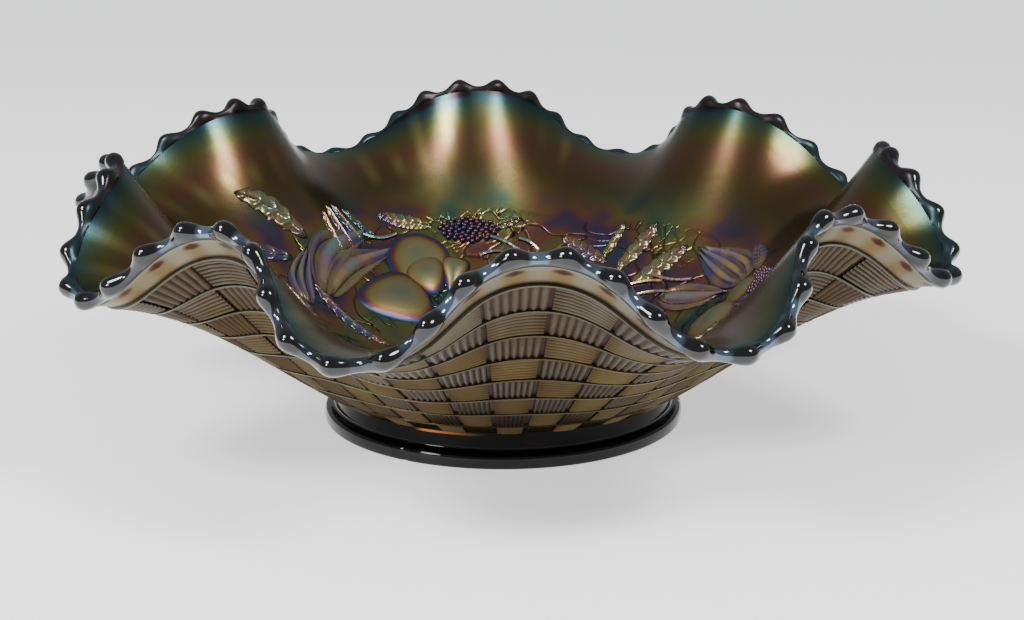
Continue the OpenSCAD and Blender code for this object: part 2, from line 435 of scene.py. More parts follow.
class Recipe:
    """A material being mixed: its node tree and the ways to add to it."""

    def __init__(self, name: str) -> None:
        """Starts an empty material."""
        self.material = bpy.data.materials.new(name)
        self.material.use_nodes = True
        self.tree = self.material.node_tree
        self.tree.nodes.clear()

    def node(self, kind: str, settings: dict, inputs: dict) -> bpy.types.Node:
        """Adds a node.

        Args:
            kind: the node's type.
            settings: its settings, which are set first. stops are a ramp's (place, colour) pairs.
            inputs: values or wires by the name or number of their sockets.

        Returns:
            The new node.
        """
        made = self.tree.nodes.new(kind)
        for key, value in settings.items():
            if key == "stops":
                self._set_stops(made.color_ramp, value)
            else:
                setattr(made, key, value)
        for key, value in inputs.items():
            if isinstance(value, Wire):
                self.tree.links.new(value.socket, made.inputs[key])
            else:
                made.inputs[key].default_value = value
        return made

    @staticmethod
    def _set_stops(ramp: bpy.types.ColorRamp, stops: Sequence[tuple[float, str]]) -> None:
        """Sets a colour ramp's stops."""
        while len(ramp.elements) < len(stops):
            ramp.elements.new(1.0)
        for element, (position, code) in zip(ramp.elements, stops):
            element.position = position
            element.color = tint(code)

    def maths(self, operation: str, left: Number, right: Number) -> Wire:
        """Adds a Math node."""
        made = self.node("ShaderNodeMath", {"operation": operation}, {0: left, 1: right})
        return Wire(self, made.outputs[0])

    def attribute(self, name: str) -> Wire:
        """Reads a number stamped on the vertices."""
        made = self.node("ShaderNodeAttribute", {"attribute_name": name}, {})
        return Wire(self, made.outputs["Fac"])

    def place(self) -> Wire:
        """The point's place in the object's own coordinates."""
        return Wire(self, self.node("ShaderNodeTexCoord", {}, {}).outputs["Object"])

    def noise(self, scale: float, detail: float = 3.0) -> Wire:
        """Cloudy noise between 0 and 1, about 1/scale metres across a cloud."""
        made = self.node("ShaderNodeTexNoise", {}, {"Vector": self.place(), "Scale": scale, "Detail": detail})
        return Wire(self, made.outputs["Fac"])

    def cracks(self, scale: float, warp: float) -> Wire:
        """Distance from the borders of cells about 1/scale across, with borders bent by warp."""
        bend = self.node("ShaderNodeTexNoise", {}, {"Vector": self.place(), "Scale": scale * 0.6})
        push = self.node(
            "ShaderNodeVectorMath",
            {"operation": "MULTIPLY_ADD"},
            {0: Wire(self, bend.outputs["Color"]), 1: (warp, warp, warp), 2: self.place()},
        )
        cells = self.node(
            "ShaderNodeTexVoronoi",
            {"feature": "DISTANCE_TO_EDGE"},
            {"Vector": Wire(self, push.outputs["Vector"]), "Scale": scale},
        )
        return Wire(self, cells.outputs["Distance"])

    def ramp(self, wire: Wire, stops: Sequence[tuple[float, str]]) -> Wire:
        """Colours along a value."""
        made = self.node("ShaderNodeValToRGB", {"stops": stops}, {"Fac": wire})
        return Wire(self, made.outputs["Color"])

    def blend(self, amount: Number, first: Wire | Colour, second: Wire | Colour) -> Wire:
        """Mixes two colours."""
        made = self.node("ShaderNodeMix", {"data_type": "RGBA"}, {0: amount, 6: first, 7: second})
        return Wire(self, made.outputs[2])

    def bump(self, height: Wire, depth: float) -> Wire:
        """Normals of a relief that is depth deep."""
        made = self.node("ShaderNodeBump", {}, {"Height": height, "Distance": depth})
        return Wire(self, made.outputs["Normal"])

    def pour(self, colour: Wire, normal: Wire, **values: Number) -> bpy.types.Material:
        """Finishes the material.

        Args:
            colour: the base colour.
            normal: the bumped normal.
            values: further inputs of the shader, with _ for each space.

        Returns:
            The finished material.
        """
        inputs = {key.replace("_", " "): value for key, value in values.items()}
        shader = self.node("ShaderNodeBsdfPrincipled", {}, {"Base Color": colour, "Normal": normal, **inputs})
        ending = self.node("ShaderNodeOutputMaterial", {}, {})
        self.tree.links.new(shader.outputs["BSDF"], ending.inputs["Surface"])
        return self.material


# ---------------------------------------------------------------------------------------------
# Finishes
# ---------------------------------------------------------------------------------------------


@dataclass(frozen=True)
class FootGlass:
    """Near-black base glass, fire polished, with a little painted amber highlight in a thin line along the neck on
    the front left.
    """

    glass: str = "060608"
    lustre: str = "2a1d12"
    # Colour of the painted highlight along the neck.
    glow: str = "a06232"
    roughness: float = 0.06

    def material(self) -> bpy.types.Material:
        """Mixes the finish."""
        mix = Recipe("foot_glass")
        clouds = mix.noise(45)
        height = mix.attribute("height")
        body = mix.blend(clouds.ramp_up(0.5, 0.8) * 0.35, tint(self.glass), tint(self.lustre))
        # Painted highlight: a thin amber line near the top of the neck, only where the glow patch is stamped; the
        # glass turns metallic there too.
        neck = height.band(1.62, 1.68, 0.06) * mix.attribute("glow")
        colour = mix.blend(neck, body, tint(self.glow))
        return mix.pour(
            colour,
            mix.bump(mix.noise(160, 2), 0.02 * MM),
            Metallic=neck * 0.7 + 0.05,
            Roughness=mix.noise(30, 2) * 0.06 + (self.roughness - 0.03),
            IOR=1.45,
            Specular_IOR_Level=0.12,
            Coat_Weight=(1 - height.ramp_up(0.86, 1.0)) * 0.6,
            Coat_Roughness=0.05,
            Coat_IOR=1.45,
        )


@dataclass(frozen=True)
class WeaveGlass:
    """Bronze lustre of the basketweave: pale on the reeds and higher up the wall, with dark brown painted shade in
    the grooves and a browner painted shade on the upright blocks.
    """

    pale: str = "585549"
    gold: str = "554b2f"
    brown: str = "463a26"
    # Colour of the painted shade in the grooves.
    groove: str = "33231a"

    def material(self) -> bpy.types.Material:
        """Mixes the finish."""
        mix = Recipe("weave_glass")
        climb = mix.attribute("climb")
        rise = mix.attribute("rise")
        clouds = mix.noise(28, 4)
        smears = mix.noise(90, 3)
        warm = mix.blend(clouds.ramp_up(0.35, 0.68), tint(self.brown), tint(self.gold))
        high = climb.ramp_up(0.45, 0.95) * 0.75 + smears * 0.25
        body = mix.blend(high.ramp_up(0.25, 0.95), warm, tint(self.pale))
        # Painted shade: the upright blocks are tinted browner than the level ones.
        body = mix.blend(mix.attribute("upright") * 0.55, body, tint(self.brown))
        # Painted shade: the colour falls to the dark groove colour where the reeds sink into the grooves.
        depth = (rise + (smears - 0.5) * 0.4).ramp_up(0.25, 0.95)
        colour = mix.blend(depth, tint(self.groove), body)
        return mix.pour(
            colour,
            mix.bump(mix.noise(900, 3), 0.03 * MM),
            Metallic=0.9,
            Roughness=0.48 - depth * 0.12 + (smears - 0.5) * 0.1,
            IOR=1.4,
        )


@dataclass(frozen=True)
class BorderGlass:
    """Plain border outside: cream to amber lustre with a dark spot under each bead."""

    cream: str = "7c7869"
    amber: str = "6c5a3a"
    spot: str = "33150b"

    def material(self) -> bpy.types.Material:
        """Mixes the finish."""
        mix = Recipe("border_glass")
        climb = mix.attribute("climb")
        bead = mix.attribute("bead")
        clouds = mix.noise(35, 3)
        warm = climb.band(0.915, 0.955, 0.03) * (bead * 0.4 + 0.35) + (clouds - 0.5) * 0.7
        body = mix.blend(warm.ramp_up(0.1, 0.8), tint(self.cream), tint(self.amber))
        away = ((climb - 0.957) / 0.011) ** 2.0 + (1 - bead) / 0.42
        spot = 1 - (away + (clouds - 0.5) * 0.8).ramp_up(0.35, 1.7)
        colour = mix.blend(spot * 0.9, body, tint(self.spot))
        return mix.pour(
            colour,
            mix.bump(mix.noise(500, 3), 0.02 * MM),
            Metallic=0.92,
            Roughness=0.34 + clouds * 0.12,
            IOR=1.4,
        )


@dataclass(frozen=True)
class EdgeGlass:
    """Fire-polished beads: nearly black gunmetal, with a painted blue-grey reflection in the gaps between the beads.
    """

    dark: str = "08090c"
    # Colour of the painted reflection in the gaps between beads.
    gap_reflection_blue: str = "586a80"
    violet: str = "24222c"
    teal: str = "26363a"
    brown: str = "2a2124"
    cream: str = "2f3132"

    def material(self) -> bpy.types.Material:
        """Mixes the finish."""
        mix = Recipe("edge_glass")
        bead = mix.attribute("bead")
        clouds = mix.noise(60, 3)
        # Painted reflection: blue-grey and violet in the gaps between beads, nearly black on the beads.
        painted_gap_reflection = mix.blend(clouds.ramp_up(0.4, 0.65), tint(self.violet), tint(self.gap_reflection_blue))
        bare = mix.blend(bead.ramp_up(0.02, 0.35), painted_gap_reflection, tint(self.dark))
        dark = mix.attribute("dark")
        inner = mix.blend(mix.attribute("crest").ramp_up(-0.2, 0.9), tint(self.teal), tint(self.brown))
        lustre = mix.blend(mix.attribute("inner"), tint(self.cream), inner)
        colour = mix.blend(dark, lustre, bare)
        return mix.pour(
            colour,
            mix.bump(mix.noise(300, 2), 0.02 * MM),
            Metallic=0.7,
            Roughness=0.3 - dark * 0.2 + clouds * 0.05,
            IOR=1.52,
            Coat_Weight=dark * 0.8,
            Coat_Roughness=0.03,
            Coat_IOR=1.6,
        )


@dataclass(frozen=True)
class LiningGlass:
    """Lustre of the inside: olive in the bowl, then rose, gold and teal up to the edge, with painted highlight
    streaks near the edge and painted shade in the furrows of the ground.
    """

    rings: tuple[tuple[float, str], ...] = (
        (0.0, "30342f"),
        (0.35, "3c3b2c"),
        (0.6, "524b2f"),
        (0.74, "5c4b30"),
        (0.83, "664836"),
        (0.9, "5a5632"),
        (0.95, "42523e"),
        (0.985, "29444a"),
        (1.0, "2c2226"),
    )
    clouds: tuple[tuple[float, str], ...] = (
        (0.3, "3a5c6a"),
        (0.38, "5a4466"),
        (0.45, "8a5c46"),
        (0.53, "7c7a48"),
        (0.62, "4a6c58"),
        (0.72, "3c4e60"),
    )
    # Colours of the painted highlight streaks near the edge.
    gold: str = "a89d5c"
    cyan_streak: str = "5a9098"
    # Colour of the painted shade in the furrows.
    furrow_shade: str = "08080b"

    def material(self) -> bpy.types.Material:
        """Mixes the finish."""
        mix = Recipe("lining_glass")
        climb = mix.attribute("climb")
        crest = mix.attribute("crest")
        bead = mix.attribute("bead")
        drift = mix.noise(16, 3)
        level = climb + (drift - 0.5) * 0.16 + crest * 0.02
        rings = mix.ramp(level, self.rings)
        colour = mix.blend((1 - climb.ramp_up(0.5, 0.72)) * 0.75, rings, mix.ramp(mix.noise(38, 2), self.clouds))
        # Painted highlight: gold to cyan streaks down the wall between the beads, near the edge.
        painted_streaks = (1 - bead) ** 3 * mix.noise(22, 2).ramp_up(0.5, 0.66) * climb.band(0.8, 0.97, 0.12)
        streak_colour = mix.blend(climb.ramp_up(0.88, 0.97), tint(self.gold), tint(self.cyan_streak))
        colour = mix.blend(painted_streaks * 0.45, colour, streak_colour)
        zone = climb.band(0.08, 0.5, 0.03)
        line = (1 - mix.cracks(60, 0.05).ramp_up(0.005, 0.045)) * zone
        fine = (1 - mix.cracks(190, 0.012).ramp_up(0.01, 0.12)) * zone * mix.noise(40, 2).ramp_up(0.45, 0.55)
        furrow_shade = line * 0.5 + fine * 0.35
        # Painted shade: the sunk furrows of the ground darken to near black.
        colour = mix.blend(furrow_shade.ramp_up(0.0, 1.0), colour, tint(self.furrow_shade))
        relief = mix.noise(260, 4) * (zone * 0.8 + 0.12) - furrow_shade * 1.5
        return mix.pour(
            colour,
            mix.bump(relief, 0.2 * MM),
            Metallic=0.96,
            Roughness=0.19 + drift * 0.12,
            IOR=1.4,
        )


@dataclass(frozen=True)
class FruitGlass:
    """Smooth fruit: contour bands of blue, violet and rust under an olive-gold crown, falling to near black painted
    shade at the foot.
    """

    contours: tuple[tuple[float, str], ...] = (
        (0.0, "050608"),
        (0.07, "16242c"),
        (0.18, "21405a"),
        (0.32, "3a2850"),
        (0.46, "60382a"),
        (0.62, "7a6a3e"),
        (0.84, "7a7452"),
        (1.0, "6c7058"),
    )

    def material(self) -> bpy.types.Material:
        """Mixes the finish."""
        mix = Recipe("fruit_glass")
        rise = mix.attribute("rise")
        # The lowest bands are near black: painted shade where each fruit meets the ground.
        bands = mix.ramp(rise + (mix.noise(55, 2) - 0.5) * 0.55, self.contours)
        return mix.pour(
            bands,
            mix.bump(mix.noise(400, 2), 0.02 * MM),
            Metallic=0.8,
            Roughness=0.3 + mix.noise(70, 2) * 0.14,
            IOR=1.52,
            Coat_Weight=0.12,
            Coat_Roughness=0.08,
        )


@dataclass(frozen=True)
class LeafGlass:
    """Leaves and stems: dark teal and violet lustre with near black painted shade at their edges and between lobes,
    under gold and silver veins that are partly lustre and partly painted glint.
    """

    furrow_shade: str = "08080b"
    field: tuple[tuple[float, str], ...] = (
        (0.32, "34565a"),
        (0.42, "524468"),
        (0.5, "7a6048"),
        (0.6, "7c7a4c"),
        (0.7, "3a6062"),
    )
    vein: tuple[tuple[float, str], ...] = (
        (0.35, "b09458"),
        (0.5, "927886"),
        (0.65, "789490"),
    )

    def material(self) -> bpy.types.Material:
        """Mixes the finish."""
        mix = Recipe("leaf_glass")
        rise = mix.attribute("rise")
        field = mix.ramp(mix.noise(48, 3), self.field)
        vein = mix.ramp(mix.noise(65, 2), self.vein)
        # Painted shade: near black where the leaf falls to the ground at its edges and between its lobes.
        body = mix.blend(rise.ramp_up(0.05, 0.35), tint(self.furrow_shade), field)
        # The raised veins turn gold and silver: partly the lustre's colour, partly a painted glint.
        colour = mix.blend(rise.ramp_up(0.62, 1.0), body, vein)
        crumple = (mix.noise(420, 3) + mix.cracks(500, 0.0) * 0.6) * (mix.noise(70, 2).ramp_up(0.42, 0.6) * 0.8 + 0.2)
        return mix.pour(
            colour,
            mix.bump(crumple, 0.22 * MM),
            Metallic=0.82,
            Roughness=0.18 + mix.noise(120, 2) * 0.14,
            IOR=1.52,
            Coat_Weight=0.4,
            Coat_Roughness=0.06,
        )


# ---------------------------------------------------------------------------------------------
# Sub-assemblies of the bowl
# ---------------------------------------------------------------------------------------------


def stamp_pattern(piece: Piece, mould: Mould) -> None:
    """Stamps how far up the wall, how near a crest and how near a bead each vertex lies."""
    flat = points_of(piece)
    bearing = np.arctan2(flat[:, 0], -flat[:, 1])
    stamp(piece, "climb", (np.hypot(flat[:, 0], flat[:, 1]) - mould.wall_r) / mould.wall_len)
    stamp(piece, "crest", np.cos(mould.phase(bearing)))
    stamp(piece, "bead", mould.swell(bearing))


def finish_piece(piece: Piece, nodes: Sequence[str], slot: Slot, *materials: bpy.types.Material) -> None:
    """Dresses a piece, hangs it on the root and hides the CAD nodes that it replaces.

    Args:
        piece: the finished mesh.
        nodes: the CAD nodes that it replaces.
        slot: the record's slot for its finish; not used.
        materials: the materials of its slots, in order.
    """
    while len(piece.data.materials) < len(materials):
        piece.data.materials.append(None)
    for place, material in enumerate(materials):
        piece.data.materials[place] = material
    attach(piece, "root")
    if nodes:
        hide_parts(*nodes)
    LOG.info("%s: %d faces", piece.name, len(piece.data.polygons))


@dataclass
class Foot:
    """The turned foot: a lip, a hollow neck and the floor above it."""

    mould: Mould
    outer_r: float = 48.0 * MM
    bore_r: float = 40.0 * MM
    lip_h: float = 4.0 * MM
    neck_r: float = 45.2 * MM
    lift: float = 5.0 * MM
    soft: float = 0.8 * MM
    rim_soft: float = 1.5 * MM
    neck_bend: float = 0.8 * MM
    seams: tuple[float, ...] = (-36.0, 84.0, 204.0)
    seam_deep: float = 0.35 * MM
    seam_wide: float = 0.6 * MM
    # Bearings in degrees of the patch of painted amber highlight on the neck.
    glow_from: float = -34.0
    glow_to: float = -10.0
    steps: int = 384

    def ring_profile(self) -> list[Place]:
        """Closed profile of the foot ring, from inside the bore round to the neck's top."""
        soft, rim, bend, lip = self.soft, self.rim_soft, self.neck_bend, self.lip_h
        return [
            (self.bore_r - 0.6 * MM, self.lift),
            (self.bore_r, self.lift - 1.2 * MM),
            *round_corner((self.bore_r + soft, soft), soft, 180, 270),
            *round_corner((self.outer_r - soft, soft), soft, 270, 360),
            *round_corner((self.outer_r - rim, lip - rim), rim, 0, 90, 8),
            *round_corner((self.neck_r + bend, lip + bend), bend, 270, 180),
            (self.neck_r, self.lift),
        ]

    def floor_profile(self) -> list[Place]:
        """Closed profile of the floor, whose upper face is dished."""
        mould = self.mould
        tilt = math.radians(mould.slope_base)
        under_r = mould.wall_r + mould.base_t / 2 * math.sin(tilt)
        under_z = mould.wall_z - mould.base_t / 2 * math.cos(tilt)
        dish = [mould.inner_r * k / 24 for k in range(24, 0, -1)]
        return [
            (0.0, self.lift),
            (self.neck_r, self.lift),
            (self.neck_r, under_z + (self.neck_r - under_r) * math.tan(tilt)),
            (under_r, under_z),
            *[(r, float(mould.floor_top(np.array(r)))) for r in dish],
            (0.0, float(mould.floor_top(np.array(0.0)))),
        ]

    def build(self, glass: bpy.types.Material, lining: bpy.types.Material) -> None:
        """Turns the foot ring and the floor.

        Args:
            glass: the foot's finish.
            lining: the finish of the floor's upper face.
        """
        ring = lathe("foot_ring_glass", self.ring_profile(), self.steps)
        self.add_seams(ring)
        self.stamp_glow(ring)
        smooth(ring, 50)
        finish_piece(ring, ["foot_ring"], Slot.FOOT, glass)
        floor = lathe("bowl_floor_glass", self.floor_profile(), self.steps)
        stamp_pattern(floor, self.mould)
        self.stamp_glow(floor)
        top = self.mould.floor_top(np.array(0.0)) - 0.5 * MM
        for face in floor.data.polygons:
            face.material_index = int(face.normal.z > 0.3 and face.center.z > top)
        smooth(floor)
        finish_piece(floor, ["bowl_floor"], Slot.LINING, glass, lining)

    def stamp_glow(self, piece: Piece) -> None:
        """Stamps the height above the table and how near the patch of painted amber highlight each vertex lies."""
        points = points_of(piece)
        turn = np.degrees(np.arctan2(points[:, 0], -points[:, 1]))
        stamp(piece, "height", points[:, 2] / self.lift)
        near = np.clip((turn - self.glow_from) / 3, 0, 1) * np.clip((self.glow_to - turn) / 18, 0, 1)
        stamp(piece, "glow", near)

    def add_seams(self, ring: Piece) -> None:
        """Sinks the three fine seams that the mould's joints leave across the lip."""
        points = points_of(ring)
        bearing = np.arctan2(points[:, 0], -points[:, 1])
        radius = np.hypot(points[:, 0], points[:, 1])
        lip = radius > self.neck_r + 0.2 * MM
        for seam in self.seams:
            away = (bearing - math.radians(seam) + math.pi) % FULL_TURN - math.pi
            sink = self.seam_deep * np.exp(-((away * self.outer_r / self.seam_wide) ** 2)) * lip
            points[:, 0] -= sink * np.sin(bearing)
            points[:, 1] += sink * np.cos(bearing)
        move_points(ring, points)


@dataclass
class Wall:
    """The ruffled wall and its plain border, each a closed shell."""

    mould: Mould
    weave_top: float = 78.0 * MM
    edge_stop: float = 84.1 * MM
    steps: int = 432

    def shell(self, name: str, start: float, stop: float, rings: int) -> Piece:
        """Makes a stretch of the wall.

        Args:
            name: the piece's name.
            start: where the stretch starts up the slope.
            stop: where it ends.
            rings: how many rings of faces it has.

        Returns:
            A closed shell whose second material slot is its inner face.
        """
        climbs = np.linspace(start, stop, rings + 1)
        halves = self.mould.half(climbs)
        over = [(self.mould.wall_r + c, h) for c, h in zip(climbs, halves)]
        under = [(r, -h) for r, h in reversed(over)]
        piece = lathe(name, over + under, self.steps)
        stamp_pattern(piece, self.mould)
        stamp(piece, "rise", np.zeros(len(piece.data.vertices)))
        inner = [int(face.normal.z > 0.5) for face in piece.data.polygons]
        self.bend(piece)
        for _ in (0, 1):
            piece.data.materials.append(None)
        piece.data.polygons.foreach_set("material_index", inner)
        smooth(piece)
        return piece

    def bend(self, piece: Piece) -> None:
        """Presses both faces of a shell onto the mould."""
        flat = points_of(piece)
        top = flat[:, 2] > 0
        sheet = flat * (1, 1, 0)
        inside = self.mould.press(sheet, Face.INSIDE)
        outside = self.mould.press(sheet, Face.OUTSIDE)
        move_points(piece, np.where(top[:, None], inside, outside))

    def build(self, weave: bpy.types.Material, border: bpy.types.Material, lining: bpy.types.Material) -> None:
        """Makes the wall and the border in their finishes."""
        wall = self.shell("bowl_wall_glass", 0.0, self.weave_top, 50)
        finish_piece(wall, ["bowl_wall"], Slot.WEAVE, weave, lining)
        plain = self.shell("plain_border_glass", self.weave_top, self.edge_stop, 10)
        finish_piece(plain, ["plain_border"], Slot.BORDER, border, lining)


@dataclass
class Edge:
    """The thick fire-polished edge that swells into beads."""

    mould: Mould
    start: float = 84.1 * MM
    bead_r: float = 2.4 * MM
    gap_r: float = 1.45 * MM
    bead_out: float = 2.2 * MM
    gap_in: float = 0.45 * MM
    shoulder: float = 0.8 * MM
    steps: int = 72 * 14

    def profile(self) -> list[Place]:
        """Profile of a full bead, from the inner face round to the outer face."""
        lip = float(self.mould.half(np.array(self.start)))
        tip = self.mould.wall_len + self.bead_out
        shoulder = [
            (self.start, lip),
            (self.start + self.shoulder * 0.5, lip + (self.bead_r - lip) * 0.35),
            (self.start + self.shoulder, lip + (self.bead_r - lip) * 0.75),
        ]
        crown = round_corner((tip - self.bead_r, 0.0), self.bead_r, 90, 0, 6)
        upper = shoulder + crown
        return upper + [(s, -h) for s, h in reversed(upper[:-1])]

    def darkness(self, out: Array, height: Array, swell: Array) -> Array:
        """How far the fire polish has burnt the lustre off.

        Args:
            out: shares of the way out to the tip.
            height: heights above the middle of the glass, positive on the inner face.
            swell: how full the edge is.

        Returns:
            0 where the lustre of the wall still covers the glass, 1 where it is bare.
        """
        inner = np.clip((out - 0.74 + 0.14 * swell) / 0.1, 0, 1)
        outer = np.clip((out - 0.12) / 0.2, 0, 1)
        return np.where(height > 0, inner, outer)

    def build(self, glass: bpy.types.Material) -> None:
        """Makes the edge, thins it between beads and bends it round the bowl."""
        profile = [(self.mould.wall_r + s, h) for s, h in self.profile()]
        piece = lathe("beaded_edge_glass", profile, self.steps)
        stamp_pattern(piece, self.mould)
        flat = points_of(piece)
        bearing = np.arctan2(flat[:, 0], -flat[:, 1])
        swell = self.mould.swell(bearing)
        out = np.hypot(flat[:, 0], flat[:, 1]) - self.mould.wall_r - self.start
        full = self.mould.wall_len + self.bead_out - self.start
        lean = self.mould.wall_len - self.gap_in - self.start
        reach = self.mould.wall_r + self.start + out * (lean + (full - lean) * swell) / full
        stamp(piece, "dark", self.darkness(out / full, flat[:, 2], swell))
        stamp(piece, "inner", (flat[:, 2] > 0) * 1.0)
        thin = np.clip(out / self.shoulder, 0, 1)
        thick = 1 - thin * (1 - self.gap_r / self.bead_r) * (1 - swell)
        bent = np.stack([reach * np.sin(bearing), -reach * np.cos(bearing), flat[:, 2] * thick], axis=-1)
        move_points(piece, self.mould.press(bent, Face.MIDDLE))
        smooth(piece, 60)
        finish_piece(piece, ["beaded_edge"], Slot.EDGE, glass)


class Reeds(Enum):
    """The way that a weave block's reeds run."""

    UPRIGHT = "weave_upright"
    LEVEL = "weave_level"


@dataclass
class Basketweave:
    """The basketweave: blocks of seven reeds, upright and level by turns, and the bands between rows."""

    mould: Mould
    columns: int = 42
    rows: int = 8
    top: float = 78.0 * MM
    start: float = 1.2 * MM
    foot: float = 3.9 * MM
    turn: float = 1.8
    rise: float = 0.75 * MM
    groove: float = 1.25 * MM
    sink: float = 0.3 * MM
    reeds: int = 7
    row_gap: float = 0.36
    column_gap: float = 0.8
    band_w: float = 0.84 * MM
    band_taper: float = 0.7
    band_steps: int = 336

    def pattern_block(self, way: Reeds) -> Piece:
        """Models one block flat, 1 wide and 1 high, with its reeds raised to a height of 1.

        Args:
            way: the way that its reeds run.

        Returns:
            A closed block that stands on Z = 0.
        """
        clear_bench()
        fine, coarse = self.reeds * 4, 4
        cuts = (fine, coarse) if way is Reeds.UPRIGHT else (coarse, fine)
        bpy.ops.mesh.primitive_grid_add(x_subdivisions=cuts[0], y_subdivisions=cuts[1], size=1)
        block = take_new("block_" + way.value)
        points = points_of(block)
        across = points[:, 0] if way is Reeds.UPRIGHT else points[:, 1]
        along = points[:, 1] if way is Reeds.UPRIGHT else points[:, 0]
        ridge = np.abs(np.sin(math.pi * self.reeds * (across + 0.5))) ** 2
        ends = 1 - np.clip((np.abs(along) - 0.44) / 0.06, 0, 1) * 0.3
        points[:, 2] = 0.25 + 0.75 * ridge * ends
        move_points(block, points)
        close_below(block, 0.0)
        return block

    def row_top(self, row: int) -> float:
        """Height up the slope of the top of a row, counted down from the border."""
        return self.top - (self.top - self.start) * row / self.rows

    def seat(self, block: Piece, column: int, row: int) -> None:
        """Moves a copy of the unit block to its column and row on the flat pattern."""
        unit = points_of(block)
        low = max(self.row_top(row + 1) + self.groove * self.row_gap, self.foot)
        high = self.row_top(row) - self.groove * self.row_gap
        reach = self.mould.wall_r + low + (high - low) * (unit[:, 1] + 0.5)
        pitch = FULL_TURN / self.columns
        side = unit[:, 0] * (pitch - self.column_gap * self.groove / reach)
        bearing = math.radians(self.turn) + (column + 0.5) * pitch + side
        lift = np.where(unit[:, 2] > 0, unit[:, 2] * self.rise, -self.sink)
        move_points(block, np.stack([reach * np.sin(bearing), -reach * np.cos(bearing), lift], axis=-1))
        stamp(block, "rise", unit[:, 2])

    def panel(self, way: Reeds, parity: int) -> Piece:
        """Makes all the blocks whose reeds run one way."""
        pattern = self.pattern_block(way)
        blocks = []
        for column in range(self.columns):
            for row in range(self.rows):
                if (column + row) % 2 == parity:
                    blocks.append(copy_of(pattern))
                    self.seat(blocks[-1], column, row)
        discard(pattern)
        return join(way.value + "_glass", blocks)

    def band(self, row: int) -> Piece:
        """Makes the fine raised line along the bottom of a row."""
        at = self.mould.wall_r + self.row_top(row)
        base, top = self.band_w / 2, self.band_w / 2 * self.band_taper
        profile = [(at - base, -self.sink), (at + base, -self.sink), (at + top, self.rise), (at - top, self.rise)]
        return lathe(f"band_{row}", profile, self.band_steps)

    def bend(self, piece: Piece) -> None:
        """Presses a piece onto the outside of the wall and turns its faces out again."""
        stamp_pattern(piece, self.mould)
        move_points(piece, self.mould.press(points_of(piece), Face.OUTSIDE))
        with editing(piece):
            bpy.ops.mesh.flip_normals()
        smooth(piece, 55)

    def build(self, glass: bpy.types.Material) -> None:
        """Makes both kinds of blocks and the bands."""
        for parity, way in ((1, Reeds.UPRIGHT), (0, Reeds.LEVEL)):
            piece = self.panel(way, parity)
            stamp(piece, "upright", np.full(len(piece.data.vertices), float(way is Reeds.UPRIGHT)))
            self.bend(piece)
            finish_piece(piece, [way.value], Slot.WEAVE, glass)
        bands = join("weave_bands_glass", [self.band(row) for row in range(self.rows)])
        stamp(bands, "rise", np.clip(points_of(bands)[:, 2] / self.rise, 0, 1) * 1.1)
        self.bend(bands)
        finish_piece(bands, [], Slot.WEAVE, glass)


# ---------------------------------------------------------------------------------------------
# Fruit relief
# ---------------------------------------------------------------------------------------------


@dataclass(frozen=True)
class LeafForm:
    """A leaf along +X from its stalk: saw-toothed with side veins, or a husk of long lobes."""

    length: float
    width: float
    rise: float = 0.95 * MM
    veins: int = 8
    lobes: int = 0
    bend: float = 0.0
    sink: float = 0.4 * MM

    def model(self) -> Piece:
        """Models the leaf flat, as a closed form that stands on Z = 0."""
        clear_bench()
        across = 36 if self.lobes else 22
        bpy.ops.mesh.primitive_grid_add(x_subdivisions=64, y_subdivisions=across, size=1)
        leaf = take_new("leaf_form")
        points = points_of(leaf)
        u = points[:, 0] + 0.5
        v = points[:, 1] * 2
        move_points(leaf, self.husk(u, v) if self.lobes else self.blade(u, v))
        stamp(leaf, "rise", close_below(leaf, -self.sink) / self.rise)
        return leaf

    def blade(self, u: Array, v: Array) -> Array:
        """Surface of a saw-toothed leaf, for shares along it and from -1 to 1 across it."""
        belly = (u + 0.015) ** 0.6 * (1.01 - u) ** 0.75 * 1.62
        tooth = (u * self.veins) % 1.0
        half_w = self.width / 2 * belly * (1 - 0.26 * tooth * np.abs(v) ** 2)
        x = self.length * u + 0.55 * np.abs(v) * half_w
        y = v * half_w + self.bend * np.sin(math.pi * u)
        body = (1 - np.abs(v) ** 4) * np.clip(np.minimum(u, 1 - u) * 10, 0, 1)
        side = np.exp(-(((tooth - 0.45) / 0.17) ** 2)) * np.clip(np.abs(v) * 8, 0, 1)
        rib = np.exp(-((v / 0.09) ** 2))
        z = self.rise * body * (0.34 + 0.5 * np.maximum(side, rib * 1.2))
        return np.stack([x, y, z + 0.02 * MM], axis=-1)

    def husk(self, u: Array, v: Array) -> Array:
        """Surface of a broad leaf with long smooth lobes and deep grooves between them."""
        lobe = np.abs(np.cos(math.pi * self.lobes / 2 * v))
        half_w = self.width / 2 * (0.12 + 0.88 * np.sin(math.pi * np.clip(u, 0, 1) ** 0.8) ** 0.8)
        x = self.length * u * (1 - 0.14 * (1 - lobe) - 0.1 * v**2)
        y = v * half_w + self.bend * np.sin(math.pi * u)
        ends = np.clip(u * 8, 0, 1) * np.clip((1 - u) * 14, 0, 1)
        z = self.rise * ends * (0.1 + 0.8 * lobe**0.55) * (1 - 0.6 * v**8)
        return np.stack([x, y, z + 0.02 * MM], axis=-1)


